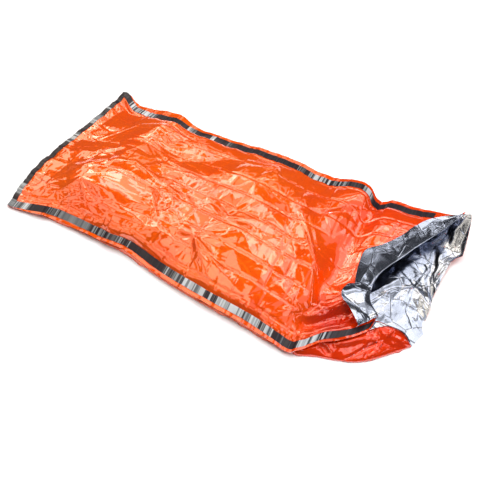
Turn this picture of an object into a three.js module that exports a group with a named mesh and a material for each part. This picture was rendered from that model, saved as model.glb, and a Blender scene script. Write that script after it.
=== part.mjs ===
// Bivy bag of metallised film, lying puffed on the floor with its head end open.
// Millimetres, +X from the foot to the mouth, +Y from the near side to the far side, +Z up.
// Two film panels are welded along both sides and the foot, and tape covers each weld.
// At the mouth the upper panel's end is turned back as a cuff, silver side out.
import * as THREE from "three";

// Driving dimensions
const FILM_THICKNESS = 1.5;
const TAPE_THICKNESS = 1;
const TAPE_WIDTH = 36;
const FOOT_TAPE_WIDTH = 30;
const LAYER_GAP = 0.5;
const LAYER_STEP = FILM_THICKNESS + LAYER_GAP;
const ARCH_POWER = 0.6;
const BOW_SKEW = 0.45;
const BOW_POWER = 1.5;
const MARGIN_REACH = 0.6;
const MARGIN_FALL = 0.8;
const CUFF_CURL = 8;
const CUFF_SEAM_SHARE = 0.25;
const CUFF_DROOP = 2;
const CUFF_MARGIN = 15;
const MOUTH_SEAM_SHARE = 0.2;
const ROW_STEP = 46;
const CELLS_ACROSS = 20;
const WALL_CELLS = 6;
const MOUTH_ROWS = 2;
const FOOT_FALL = 4;
const TAPE_BUTT_SHARE = 0.05;
const FOLD_FADE = 0.12;
const SHARPEST_MITRE = 0.02;
// Handles of the curve down the lower panel's wall, as shares of its height and inset
const WALL_UPPER = { bulge: 0.6, inset: 0.2, height: 0.28, perInset: 0.0012 };
const WALL_LOWER = { bulge: 1.5, inset: 0.45 };
// The footprint's middle
const CENTRE_X = 970;
const CENTRE_Y = 443;

// Sections from the foot weld to the fold of the mouth, from the near foot corner.
// near and far: inner edge of each side's tape; crown: rise of the upper panel over the line
// between them; foot: share of the foot edge's own line; bow: how far its middle lies ahead;
// margin: free film outside the tape; droop: fall of the tape across its width;
// bulge: how far the lower panel swells out; inset: how far in it comes down to the floor.
const SECTIONS = [
  { nearX: 45, nearY: -17, nearZ: 27, farX: 73, farY: 797, farZ: 72, crown: 0, foot: 1, bow: 0,
    nearMargin: 2, farMargin: 2, nearDroop: 6, farDroop: 6,
    nearBulge: 0, farBulge: 0, nearInset: 0, farInset: 0 },
  { nearX: 138, nearY: 5, nearZ: 38, farX: 178, farY: 754, farZ: 52, crown: 34, foot: 0.5, bow: 0,
    nearMargin: 10, farMargin: 22, nearDroop: 10, farDroop: 4,
    nearBulge: 0.6, farBulge: 0.8, nearInset: 30, farInset: 12 },
  { nearX: 252, nearY: 34, nearZ: 47, farX: 294, farY: 763, farZ: 62, crown: 50, foot: 0.1, bow: 0,
    nearMargin: 15, farMargin: 40, nearDroop: 15, farDroop: 2,
    nearBulge: 1, farBulge: 0.8, nearInset: 5, farInset: 5 },
  { nearX: 429, nearY: 48, nearZ: 48, farX: 414, farY: 776, farZ: 67, crown: 56, foot: 0, bow: 0,
    nearMargin: 15, farMargin: 36, nearDroop: 15, farDroop: 2,
    nearBulge: 1, farBulge: 0.8, nearInset: 5, farInset: 5 },
  { nearX: 551, nearY: 54, nearZ: 50, farX: 545, farY: 770, farZ: 53, crown: 60, foot: 0, bow: 0,
    nearMargin: 15, farMargin: 20, nearDroop: 15, farDroop: 3,
    nearBulge: 1.1, farBulge: 0.8, nearInset: 5, farInset: 5 },
  { nearX: 665, nearY: 66, nearZ: 52, farX: 688, farY: 787, farZ: 55, crown: 60, foot: 0, bow: 0,
    nearMargin: 18, farMargin: 20, nearDroop: 14, farDroop: 3,
    nearBulge: 1.2, farBulge: 0.8, nearInset: 5, farInset: 5 },
  { nearX: 881, nearY: 37, nearZ: 52, farX: 891, farY: 819, farZ: 57, crown: 58, foot: 0, bow: 0,
    nearMargin: 18, farMargin: 22, nearDroop: 14, farDroop: 3,
    nearBulge: 1.2, farBulge: 0.8, nearInset: 5, farInset: 5 },
  { nearX: 1114, nearY: 26, nearZ: 52, farX: 1070, farY: 833, farZ: 57, crown: 56, foot: 0, bow: 0,
    nearMargin: 18, farMargin: 24, nearDroop: 14, farDroop: 3,
    nearBulge: 1.2, farBulge: 0.8, nearInset: 5, farInset: 5 },
  { nearX: 1331, nearY: 23, nearZ: 50, farX: 1266, farY: 828, farZ: 53, crown: 50, foot: 0, bow: 0,
    nearMargin: 18, farMargin: 26, nearDroop: 14, farDroop: 3,
    nearBulge: 1.1, farBulge: 0.8, nearInset: 5, farInset: 5 },
  { nearX: 1461, nearY: 12, nearZ: 42, farX: 1373, farY: 850, farZ: 86, crown: 38, foot: 0, bow: 0,
    nearMargin: 15, farMargin: 20, nearDroop: 10, farDroop: 5,
    nearBulge: 1, farBulge: 0.6, nearInset: 5, farInset: 15 },
  { nearX: 1540, nearY: 11, nearZ: 32, farX: 1440, farY: 842, farZ: 98, crown: 26, foot: 0, bow: 0,
    nearMargin: 15, farMargin: 20, nearDroop: 7, farDroop: 5,
    nearBulge: 1, farBulge: 0.5, nearInset: 5, farInset: 15 },
  { nearX: 1570, nearY: 28, nearZ: 48, farX: 1530, farY: 816, farZ: 68, crown: 30, foot: 0, bow: 0,
    nearMargin: 15, farMargin: 24, nearDroop: 8, farDroop: 4,
    nearBulge: 1.35, farBulge: 0.8, nearInset: 5, farInset: 5 },
  { nearX: 1635, nearY: 104, nearZ: 60, farX: 1590, farY: 846, farZ: 68, crown: 36, foot: 0, bow: 0,
    nearMargin: 15, farMargin: 22, nearDroop: 6, farDroop: 4,
    nearBulge: 2, farBulge: 0.9, nearInset: 5, farInset: 10 },
  { nearX: 1715, nearY: 168, nearZ: 63, farX: 1687, farY: 855, farZ: 76, crown: 34, foot: 0, bow: -35,
    nearMargin: 15, farMargin: 20, nearDroop: 3, farDroop: 4,
    nearBulge: 2.6, farBulge: 0.8, nearInset: 5, farInset: 40 },
  { nearX: 1785, nearY: 258, nearZ: 64, farX: 1790, farY: 870, farZ: 92, crown: 16, foot: 0, bow: -100,
    nearMargin: 15, farMargin: 15, nearDroop: 2, farDroop: 5,
    nearBulge: 3.8, farBulge: 0.4, nearInset: 5, farInset: 110 },
];

// How far the foot's edge lies ahead of the line between its corners, in even steps across.
const FOOT_LINE = [0, -23, -35, -45, -38, -28, -18, -5, -3, -5, 0];

// The lower panel's sections beyond that fold, out to its free edge.
const LOWER_MOUTH = [
  { nearX: 1845, nearY: 258, nearZ: 57, farX: 1864, farY: 910, farZ: 88,
    nearMargin: 8, farMargin: 8, nearDroop: -8, farDroop: 2,
    nearBulge: 3.5, farBulge: 0.1, nearInset: 10, farInset: 190 },
  { nearX: 1912, nearY: 268, nearZ: 46, farX: 1898, farY: 928, farZ: 128,
    nearMargin: 8, farMargin: 8, nearDroop: -8, farDroop: 2,
    nearBulge: 2.9, farBulge: 0, nearInset: 10, farInset: 290 },
  { nearX: 1966, nearY: 262, nearZ: 20, farX: 1926, farY: 938, farZ: 146,
    nearMargin: 8, farMargin: 8, nearDroop: -8, farDroop: 2,
    nearBulge: 1.8, farBulge: 0, nearInset: 20, farInset: 370 },
];

// The cuff by share of the panel's width from its near end: where the upper panel turns back,
// and where its free edge lies.
const CUFF = [
  { share: 0, foldX: 1794, foldY: 278, foldZ: 86, edgeX: 1743, edgeY: 187, edgeZ: 86 },
  { share: 0.12, foldX: 1736, foldY: 319, foldZ: 88, edgeX: 1662, edgeY: 246, edgeZ: 102 },
  { share: 0.22, foldX: 1713, foldY: 365, foldZ: 90, edgeX: 1618, edgeY: 288, edgeZ: 116 },
  { share: 0.34, foldX: 1709, foldY: 446, foldZ: 92, edgeX: 1630, edgeY: 384, edgeZ: 150 },
  { share: 0.44, foldX: 1730, foldY: 526, foldZ: 95, edgeX: 1614, edgeY: 494, edgeZ: 160 },
  { share: 0.56, foldX: 1758, foldY: 591, foldZ: 97, edgeX: 1665, edgeY: 571, edgeZ: 153 },
  { share: 0.67, foldX: 1783, foldY: 659, foldZ: 98, edgeX: 1709, edgeY: 654, edgeZ: 147 },
  { share: 0.78, foldX: 1811, foldY: 725, foldZ: 100, edgeX: 1740, edgeY: 743, edgeZ: 141 },
  { share: 0.89, foldX: 1842, foldY: 790, foldZ: 106, edgeX: 1786, edgeY: 826, edgeZ: 137 },
  { share: 1, foldX: 1874, foldY: 868, foldZ: 130, edgeX: 1856, edgeY: 886, edgeZ: 142 },
];

// Main folds of the upper panel: straight runs, raised when the height is positive.
const FOLDS = [
  { name: "mouth ridge, far run", fromX: 1230, fromY: 660, toX: 1390, toY: 430, width: 45, height: 14 },
  { name: "mouth ridge, near run", fromX: 1390, fromY: 430, toX: 1500, toY: 210, width: 45, height: 12 },
  { name: "mouth trough, far run", fromX: 1420, fromY: 730, toX: 1450, toY: 520, width: 55, height: -20 },
  { name: "mouth trough, near run", fromX: 1450, fromY: 520, toX: 1545, toY: 130, width: 55, height: -24 },
  { name: "hollow under the cuff", fromX: 1575, fromY: 220, toX: 1700, toY: 230, width: 75, height: -30 },
  { name: "foot arc, near run", fromX: 240, fromY: 160, toX: 215, toY: 290, width: 55, height: 12 },
  { name: "foot arc, far run", fromX: 215, fromY: 290, toX: 440, toY: 405, width: 60, height: 14 },
  { name: "long arc, top", fromX: 440, fromY: 405, toX: 650, toY: 370, width: 60, height: 14 },
  { name: "long arc, fall", fromX: 650, fromY: 370, toX: 910, toY: 205, width: 55, height: 12 },
  { name: "near swelling", fromX: 270, fromY: 205, toX: 620, toY: 200, width: 50, height: 12 },
  { name: "star, near run", fromX: 918, fromY: 204, toX: 1110, toY: 80, width: 45, height: 12 },
  { name: "star, middle run", fromX: 918, fromY: 204, toX: 1090, toY: 330, width: 45, height: 10 },
  { name: "far hollow", fromX: 480, fromY: 600, toX: 820, toY: 640, width: 70, height: -12 },
  { name: "far swelling", fromX: 900, fromY: 660, toX: 1120, toY: 700, width: 65, height: 10 },
];

// Materials
const FILM_LOOK = { color: 0xf04a0c, roughness: 0.25, metalness: 0.1 };
const TAPE_LOOK = { color: 0x4a474c, roughness: 0.35, metalness: 0.6 };

const UP = new THREE.Vector3(0, 0, 1);
const point = (x, y, z) => new THREE.Vector3(x, y, z);
const mix = (a, b, share) => a + (b - a) * share;
const shares = Array.from({ length: CELLS_ACROSS + 1 }, (_, k) => k / CELLS_ACROSS);

// One side's tape edge in a section, with its outward direction on the floor plan
function sideRail(row, side) {
  const near = point(row.nearX, row.nearY, row.nearZ);
  const far = point(row.farX, row.farY, row.farZ);
  const outward = side === "near" ? near.clone().sub(far) : far.clone().sub(near);
  outward.setZ(0).normalize();
  const rail = side === "near" ? near : far;
  return { rail, outward, droop: row[`${side}Droop`], margin: row[`${side}Margin`] };
}

// The tape's outer edge and the film's cut edge beyond one rail
function seamPoints({ rail, outward, droop, margin }, share) {
  const reach = Math.sqrt(TAPE_WIDTH ** 2 - droop ** 2);
  const outer = rail.clone().addScaledVector(outward, reach * share);
  outer.z -= droop * share;
  const cut = outer.clone().addScaledVector(outward, margin * MARGIN_REACH * share);
  cut.z -= Math.min(margin * MARGIN_FALL, droop * MARGIN_FALL) * share;
  return { outer, cut };
}

function footLine(share) {
  const steps = FOOT_LINE.length - 1;
  const step = Math.min(Math.floor(share * steps), steps - 1);
  return mix(FOOT_LINE[step], FOOT_LINE[step + 1], share * steps - step);
}

// Points of the upper panel across a section, between the two rails
function upperAcross(row) {
  return shares.map((share) => {
    const skewed = share ** BOW_SKEW;
    const ahead = row.foot * footLine(share) + row.bow * (4 * skewed * (1 - skewed)) ** BOW_POWER;
    return point(
      mix(row.nearX, row.farX, share) + ahead,
      mix(row.nearY, row.farY, share),
      mix(row.nearZ, row.farZ, share) + row.crown * (4 * share * (1 - share)) ** ARCH_POWER,
    );
  });
}

// A section with its seam margins added at both ends
function withMargins(across, nearSide, farSide, share) {
  const near = seamPoints({ ...nearSide, rail: across[0] }, share);
  const far = seamPoints({ ...farSide, rail: across[across.length - 1] }, share);
  return [near.cut, near.outer, ...across, far.outer, far.cut];
}

function upperSection(row) {
  return withMargins(upperAcross(row), sideRail(row, "near"), sideRail(row, "far"), 1);
}

// Place of a share of the width on a curve through the cuff's table
function cuffPlace(share) {
  const steps = CUFF.length - 1;
  const next = CUFF.findIndex((row, k) => k === steps || CUFF[k + 1].share > share);
  const step = Math.min(next, steps - 1);
  const within = (share - CUFF[step].share) / (CUFF[step + 1].share - CUFF[step].share);
  return (step + within) / steps;
}

// The cuff's fold, middle and free edge as three more sections of the upper panel
function cuffSections() {
  const fold = new THREE.CatmullRomCurve3(CUFF.map((c) => point(c.foldX, c.foldY, c.foldZ)));
  const edge = new THREE.CatmullRomCurve3(CUFF.map((c) => point(c.edgeX, c.edgeY, c.edgeZ)));
  const rows = [0, 0.5, 1].map((along) => shares.map((share) => {
    const turn = cuffPlace(share);
    const place = fold.getPoint(turn).lerp(edge.getPoint(turn), along);
    place.z += CUFF_CURL * 4 * along * (1 - along);
    return place;
  }));
  return rows.map((across) => {
    const outward = across[0].clone().sub(across[CELLS_ACROSS]).setZ(0).normalize();
    const nearSide = { outward, droop: CUFF_DROOP, margin: CUFF_MARGIN };
    const farSide = { ...nearSide, outward: outward.clone().negate() };
    return withMargins(across, nearSide, farSide, CUFF_SEAM_SHARE);
  });
}

// The foot's cut edge lies one tape's width before the first section
function footEdge(section) {
  return section.map((p) => point(p.x - FOOT_TAPE_WIDTH, p.y, p.z - FOOT_FALL));
}

// Points of the lower panel from one rail down its swelling wall to the floor
function wallPoints({ rail, outward }, bulge, inset) {
  const height = rail.z - FILM_THICKNESS / 2;
  const floor = FILM_THICKNESS / 2;
  const at = (reach, z) => rail.clone().addScaledVector(outward, reach).setZ(floor + z);
  const upper = at(
    WALL_UPPER.bulge * height * bulge - WALL_UPPER.inset * inset,
    height * (WALL_UPPER.height + WALL_UPPER.perInset * inset),
  );
  const lower = at(WALL_LOWER.bulge * height * bulge - WALL_LOWER.inset * inset, 0);
  const wall = new THREE.CubicBezierCurve3(rail, upper, lower, at(-inset, 0));
  return wall.getPoints(WALL_CELLS);
}

// Points of the lower panel across a section: wall, floor, wall
function lowerAcross(row, drop) {
  const nearSide = sideRail(row, "near");
  const farSide = sideRail(row, "far");
  nearSide.rail.z -= drop;
  farSide.rail.z -= drop;
  const near = wallPoints(nearSide, row.nearBulge, row.nearInset);
  const far = wallPoints(farSide, row.farBulge, row.farInset).reverse();
  const floorCells = CELLS_ACROSS - 2 * WALL_CELLS;
  const floor = Array.from({ length: floorCells - 1 }, (_, k) =>
    near[WALL_CELLS].clone().lerp(far[0], (k + 1) / floorCells));
  return [...near, ...floor, ...far];
}

function lowerSection(row, share) {
  const drop = share === 1 ? LAYER_STEP : 0;
  const nearSide = sideRail(row, "near");
  const farSide = sideRail(row, "far");
  return withMargins(lowerAcross(row, drop), nearSide, farSide, share);
}

// Number of rows between two neighbouring sections, from their distance in the middle
function rowCount(from, to) {
  const middle = Math.floor(from.length / 2);
  return Math.max(2, Math.ceil(from[middle].distanceTo(to[middle]) / ROW_STEP));
}

// A grid of points: one smooth strand through all sections for each place across them
function strandGrid(sections, counts) {
  const last = sections.length - 1;
  const strands = sections[0].map((_, k) => new THREE.CatmullRomCurve3(sections.map((s) => s[k])));
  const places = [0];
  counts.forEach((count, k) => {
    for (let step = 1; step <= count; step += 1) places.push((k + step / count) / last);
  });
  return places.map((place) => strands.map((strand) => strand.getPoint(place)));
}

// Where the offset planes of two neighbouring faces meet, for an offset of one
function mitre(a, b) {
  return a.clone().add(b).divideScalar(Math.max(1 + a.dot(b), SHARPEST_MITRE));
}

// Normals of a grid, on the side that faces up where it lies flat, lengthened at sharp folds
function gridNormals(grid) {
  const lastRow = grid.length - 2;
  const lastFace = grid[0].length - 2;
  const faces = grid.slice(1).map((row, i) => row.slice(1).map((corner, j) => {
    const diagonal = corner.clone().sub(grid[i][j]);
    return diagonal.cross(grid[i][j + 1].clone().sub(row[j])).normalize();
  }));
  return grid.map((row, i) => row.map((_, j) => {
    const before = faces[Math.max(i - 1, 0)];
    const after = faces[Math.min(i, lastRow)];
    const left = Math.max(j - 1, 0);
    const right = Math.min(j, lastFace);
    const mean = (a, b) => a.clone().add(b).normalize();
    const across = mitre(mean(before[left], after[left]), mean(before[right], after[right]));
    const along = mitre(mean(before[left], before[right]), mean(after[left], after[right]));
    return across.lengthSq() > along.lengthSq() ? across : along;
  }));
}

// A closed sheet: the grid moved out by half the thickness each way and joined round its rim
function sheetGeometry(grid, normals, thickness) {
  const rows = grid.length;
  const columns = grid[0].length;
  const positions = [];
  for (const side of [0.5, -0.5]) {
    grid.forEach((row, i) => row.forEach((p, j) => {
      positions.push(...p.clone().addScaledVector(normals[i][j], side * thickness).toArray());
    }));
  }
  const under = rows * columns;
  const index = (i, j) => i * columns + j;
  const triangles = [];
  const quad = (a, b, c, d) => triangles.push(a, b, c, a, c, d);
  for (let i = 0; i + 1 < rows; i += 1) {
    for (let j = 0; j + 1 < columns; j += 1) {
      const [a, b, c, d] = [index(i, j), index(i + 1, j), index(i + 1, j + 1), index(i, j + 1)];
      quad(a, b, c, d);
      triangles.push(a + under, c + under, b + under, a + under, d + under, c + under);
    }
  }
  const rim = (a, b) => quad(a, a + under, b + under, b);
  for (let i = 0; i + 1 < rows; i += 1) {
    rim(index(i, 0), index(i + 1, 0));
    rim(index(i + 1, columns - 1), index(i, columns - 1));
  }
  for (let j = 0; j + 1 < columns; j += 1) {
    rim(index(rows - 1, j), index(rows - 1, j + 1));
    rim(index(0, j + 1), index(0, j));
  }
  const geometry = new THREE.BufferGeometry();
  geometry.setAttribute("position", new THREE.Float32BufferAttribute(positions, 3));
  geometry.setIndex(triangles);
  geometry.translate(-CENTRE_X, -CENTRE_Y, 0);
  geometry.computeVertexNormals();
  return geometry;
}

function sheetMesh(name, grid, normals, thickness, look) {
  const material = new THREE.MeshStandardMaterial(look);
  const mesh = new THREE.Mesh(sheetGeometry(grid, normals, thickness), material);
  mesh.name = name;
  return mesh;
}

// Height added by the main folds at a place on the upper panel
function foldHeight(place) {
  const heights = FOLDS.map((fold) => {
    const from = new THREE.Vector2(fold.fromX, fold.fromY);
    const run = new THREE.Vector2(fold.toX, fold.toY).sub(from);
    const offset = new THREE.Vector2(place.x, place.y).sub(from);
    const share = THREE.MathUtils.clamp(offset.dot(run) / run.lengthSq(), 0, 1);
    const distance = offset.addScaledVector(run, -share).length();
    return fold.height * Math.exp(-((distance / fold.width) ** 2));
  });
  return Math.max(0, ...heights) + Math.min(0, ...heights);
}

// Raise the folds on the upper panel's body, fading out towards its seams
function raiseFolds(grid, bodyRows) {
  for (let i = 0; i < bodyRows; i += 1) {
    shares.forEach((share, k) => {
      const fade = Math.min(1, share / FOLD_FADE, (1 - share) / FOLD_FADE);
      const place = grid[i][k + 2];
      place.z += foldHeight(place) * fade;
    });
  }
}

// A strip of tape over part of the upper panel's grid
function tapeMesh(name, grid, normals) {
  const lift = LAYER_STEP - FILM_THICKNESS / 2 + TAPE_THICKNESS / 2;
  const raised = grid.map((row, i) => row.map((p, j) => p.clone().addScaledVector(normals[i][j], lift)));
  return sheetMesh(name, raised, normals, TAPE_THICKNESS, TAPE_LOOK);
}

// Upper panel
const upperBody = SECTIONS.map(upperSection);
const upperSections = [footEdge(upperBody[0]), ...upperBody, ...cuffSections()];
const upperCounts = upperSections.slice(1).map((section, k) => rowCount(upperSections[k], section));
const upperGrid = strandGrid(upperSections, upperCounts);
const footRows = upperCounts[0] + 1;
const sharedRows = 1 + upperCounts.slice(0, SECTIONS.length).reduce((sum, count) => sum + count, 0);
raiseFolds(upperGrid, sharedRows);
const upperNormals = gridNormals(upperGrid);

// Lower panel: under the foot weld it follows the upper panel, then it comes down to the floor
const lowerFoot = upperSections.slice(0, 2).map((section) =>
  section.map((p) => point(p.x, p.y, p.z - LAYER_STEP)));
const lowerSections = [
  ...lowerFoot,
  ...SECTIONS.slice(1).map((row) => lowerSection(row, 1)),
  ...LOWER_MOUTH.map((row) => lowerSection(row, MOUTH_SEAM_SHARE)),
];
const mouthCounts = LOWER_MOUTH.map(() => MOUTH_ROWS);
const lowerCounts = [...upperCounts.slice(0, SECTIONS.length), ...mouthCounts];
const lowerGrid = strandGrid(lowerSections, lowerCounts);
const lastColumn = lowerGrid[0].length - 1;
const seamColumns = [0, 1, 2, lastColumn - 2, lastColumn - 1, lastColumn];

// Lay the lower panel's welded margins one layer below the upper panel's
function layUnder(i, j) {
  lowerGrid[i][j] = upperGrid[i][j].clone().addScaledVector(upperNormals[i][j], -LAYER_STEP);
}
for (let i = 0; i < sharedRows; i += 1) {
  const columns = i < footRows ? lowerGrid[0].keys() : seamColumns;
  for (const j of columns) layUnder(i, j);
}

// Keep the lower panel's floor exactly level and its walls above it
for (const row of lowerGrid) {
  for (const place of row) place.z = Math.max(place.z, FILM_THICKNESS / 2);
}
const lowerNormals = gridNormals(lowerGrid);
const firstFloor = 2 + WALL_CELLS;
for (let i = footRows + upperCounts[1] - 1; i < lowerGrid.length; i += 1) {
  for (let j = firstFloor; j <= lastColumn - firstFloor; j += 1) {
    lowerGrid[i][j].z = FILM_THICKNESS / 2;
    lowerNormals[i][j] = UP.clone();
  }
}

// Tapes: one along each side from the foot tape to the mouth, one across the foot
const cutOut = (rows, from, to, columns) =>
  rows.slice(from, to).map((row) => columns.map((j) => row[j].clone()));
function sideTape(name, columns) {
  const strip = cutOut(upperGrid, footRows - 1, sharedRows, columns);
  const normals = cutOut(upperNormals, footRows - 1, sharedRows, columns);
  strip[0].forEach((p, j) => p.lerp(strip[1][j], TAPE_BUTT_SHARE));
  return tapeMesh(name, strip, normals);
}
const allColumns = [...upperGrid[0].keys()];
const footTape = tapeMesh(
  "foot_seam_tape",
  cutOut(upperGrid, 0, footRows, allColumns),
  cutOut(upperNormals, 0, footRows, allColumns),
);

const bag = new THREE.Group();
bag.name = "bivy_bag";
bag.add(sheetMesh("upper_film", upperGrid, upperNormals, FILM_THICKNESS, FILM_LOOK));
bag.add(sheetMesh("lower_film", lowerGrid, lowerNormals, FILM_THICKNESS, FILM_LOOK));
bag.add(sideTape("near_seam_tape", [1, 2]));
bag.add(sideTape("far_seam_tape", [lastColumn - 2, lastColumn - 1]));
bag.add(footTape);
export default bag;
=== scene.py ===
import math

import bpy
import numpy as np
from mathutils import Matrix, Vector
from mathutils.bvhtree import BVHTree
from mathutils.geometry import delaunay_2d_cdt


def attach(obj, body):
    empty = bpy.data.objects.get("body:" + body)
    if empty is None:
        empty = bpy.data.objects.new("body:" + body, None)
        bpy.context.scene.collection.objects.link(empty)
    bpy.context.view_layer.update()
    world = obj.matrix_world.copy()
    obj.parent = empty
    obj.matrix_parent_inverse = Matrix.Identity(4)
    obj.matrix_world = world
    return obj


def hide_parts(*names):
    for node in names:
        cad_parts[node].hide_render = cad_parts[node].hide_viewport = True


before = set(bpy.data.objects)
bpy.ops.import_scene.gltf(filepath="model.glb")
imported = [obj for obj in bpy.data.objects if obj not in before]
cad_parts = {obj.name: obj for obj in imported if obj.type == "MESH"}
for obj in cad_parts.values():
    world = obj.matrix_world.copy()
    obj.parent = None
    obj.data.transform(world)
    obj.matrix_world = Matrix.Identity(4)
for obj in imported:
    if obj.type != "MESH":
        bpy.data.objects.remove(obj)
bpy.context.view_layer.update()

# Bivy bag of metallised film, lying puffed and creased on a pale floor with its mouth turned back.
# Tables and sizes are in millimetres from the near foot corner; pieces are made in metres.


def table(columns, *rows):
    """Rows of a table as dictionaries, one entry for each named column."""
    names = columns.split()
    return [dict(zip(names, row)) for row in rows]


# Film and tape
MM = 0.001
CENTRE = np.array([970.0, 443.0, 0.0])
FILM_THICKNESS = 1.2
TAPE_THICKNESS = 0.6
TAPE_LIFT = 1.6
TAPE_WIDTH = 36
FOOT_TAPE_WIDTH = 30
FOOT_FALL = 4
LAYER_STEP = 2
MARGIN_REACH = 0.95
MARGIN_FALL = 0.3

# Upper panel: its arch, its bow by the mouth, folds that fade towards the seams
ARCH_POWER = 0.6
BOW_SKEW = 0.45
BOW_POWER = 1.5
FOLD_FADE = 0.12

# Cuff
CUFF_CURL = 8
CUFF_SEAM_SHARE = 0.25
CUFF_SEAMS = {"near_droop": 2, "far_droop": 2, "near_margin": 15, "far_margin": 15}
CUFF_CLEARANCE = 3
FOLD_ROWS = 8

# Lower panel: its floor, its walls and its end in the mouth
FLOOR_HEIGHT = 0.75
FLOOR_GAP = 0.1
FLOOR_SOFTNESS = 4
WALL_CLEARANCE = 2.5
UNDER_WALL_SHARE = 0.2
WALL_UPPER_BULGE = 0.6
WALL_UPPER_INSET = 0.2
WALL_UPPER_HEIGHT = 0.28
WALL_UPPER_PER_INSET = 0.0012
WALL_LOWER_BULGE = 1.5
WALL_LOWER_INSET = 0.45
MOUTH_SEAM_SHARE = 0.2
MOUTH_FLOOR_LIFT = 9
FLOOR_LIFT_CELLS = 8
ABOVE_ALL = 500

# Strength of the crumples, by distance from the foot weld, by share across the cuff or by height
SEAM_SHARE = 0.25
SEAM_REACH = 26
FOOT_SHARE = 0.15
FOOT_SPAN = (-5, 40)
HEAD_SPAN = (620, 980)
THROAT_GAIN = 1.7
THROAT_SPAN = (1480, 1600)
CUFF_BLEND = 40
KNOB_GAIN = 1.8
KNOB_SPAN = (0.25, 0.5)
CUFF_FAR_SHARE = 0.3
CUFF_FAR_SPAN = (0.8, 0.95)
FOLD_CALM = 0.85
FOLD_CALM_REACH = 28
LOWER_SEAM_REACH = 30
MOUTH_SEAM_REACH = 60
MOUTH_BLEND = 200
MOUTH_WALL_SHARE = 0.45
WALL_END_SHARE = 0.4
WALL_FADE_SPAN = (8, 30)

# Mesh steps
ROW_STEP = 5.2
UPPER_CELLS = 168
TAPE_CELLS = 6
MARGIN_CELLS = 2
SIDE_CELLS = TAPE_CELLS + MARGIN_CELLS
NEAR_WALL_CELLS = 34
FAR_WALL_CELLS = 16
LOWER_FLOOR_CELLS = 70
LOWER_CELLS = NEAR_WALL_CELLS + LOWER_FLOOR_CELLS + FAR_WALL_CELLS
UPPER_BODY = slice(SIDE_CELLS, SIDE_CELLS + UPPER_CELLS + 1)
NEAR_WALL = slice(SIDE_CELLS, SIDE_CELLS + NEAR_WALL_CELLS + 1)
MOUTH_SPAN = 60
TAPE_FINENESS = 2
COARSE_STEP = 4
COARSE_DROP = 7
COARSE_BORDER = 4
MOUTH_HIDDEN_ROWS = 50
LOWER_FINE_ROWS = 18
SHORTEST_SPAN = 1e-4
MERGE_DISTANCE = 1e-6
TINY = 1e-9
SEED = 23

# Sections from the foot weld to the fold of the mouth: inner edge of each side's tape, rise of the
# crown, share of the foot's own line, bow of the middle, free film outside the tape, fall of the
# tape across its width, swelling of the lower panel and how far in it comes down to the floor.
RAILS = "near_x near_y near_z far_x far_y far_z "
SIDES = " near_margin far_margin near_droop far_droop near_bulge far_bulge near_inset far_inset"
SECTIONS = table(
    RAILS + "crown foot bow" + SIDES,
    (45, -17, 27, 73, 797, 72, 0, 1, 0, 2, 2, 6, 6, 0, 0, 0, 0),
    (138, 5, 38, 178, 754, 52, 34, 0.5, 0, 10, 22, 10, 4, 0.6, 0.8, 30, 12),
    (252, 34, 47, 294, 763, 62, 50, 0.1, 0, 15, 40, 15, 2, 1, 0.8, 5, 5),
    (429, 48, 48, 414, 776, 67, 56, 0, 0, 15, 36, 15, 2, 1, 0.8, 5, 5),
    (551, 54, 50, 545, 770, 53, 60, 0, 0, 15, 20, 15, 3, 1.1, 0.8, 5, 5),
    (665, 66, 52, 688, 787, 55, 60, 0, 0, 18, 20, 14, 3, 1.2, 0.8, 5, 5),
    (881, 37, 52, 891, 819, 57, 58, 0, 0, 18, 22, 14, 3, 1.2, 0.8, 5, 5),
    (1114, 26, 52, 1070, 833, 57, 56, 0, 0, 18, 24, 14, 3, 1.2, 0.8, 5, 5),
    (1331, 23, 50, 1266, 828, 53, 50, 0, 0, 18, 26, 14, 3, 1.1, 0.8, 5, 5),
    (1461, 12, 42, 1373, 850, 86, 38, 0, 0, 15, 20, 10, 5, 1, 0.6, 5, 15),
    (1540, 11, 32, 1462, 846, 100, 26, 0, 0, 15, 20, 7, 5, 1, 0.5, 5, 15),
    (1570, 28, 48, 1524, 812, 64, 30, 0, 0, 15, 24, 8, 4, 1.35, 0.8, 5, 5),
    (1635, 104, 60, 1590, 846, 68, 36, 0, 0, 15, 22, 6, 4, 2, 0.9, 5, 10),
    (1715, 168, 63, 1687, 855, 76, 34, 0, -35, 15, 20, 3, 4, 2.6, 0.8, 5, 40),
    (1785, 258, 64, 1790, 870, 92, 16, 0, -100, 15, 15, 2, 5, 3.8, 0.4, 5, 110),
)

# How far the foot's edge lies ahead of the line between its corners, in even steps across.
FOOT_LINE = (0, -23, -35, -45, -38, -28, -18, -5, -3, -5, 0)

# The lower panel's sections beyond that fold, out to its free edge.
LOWER_MOUTH = table(
    RAILS + SIDES,
    (1845, 268, 66, 1864, 910, 88, 8, 8, -8, 2, 3.0, 0.1, 10, 190),
    (1912, 280, 52, 1898, 928, 128, 8, 8, -8, 2, 2.1, 0, 10, 290),
    (1966, 262, 20, 1926, 938, 146, 8, 8, -8, 2, 0.5, 0, 20, 370),
)

# How far the lower panel's free edge lies ahead of that last section, by place across.
MOUTH_EDGE = table(
    "y ahead",
    (262, -4), (344, 21), (369, 6), (457, 4),
    (543, -4), (642, 2), (690, 10), (717, 6),
    (747, 12), (780, 41), (846, 32), (911, 18),
    (950, 2),
)

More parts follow.
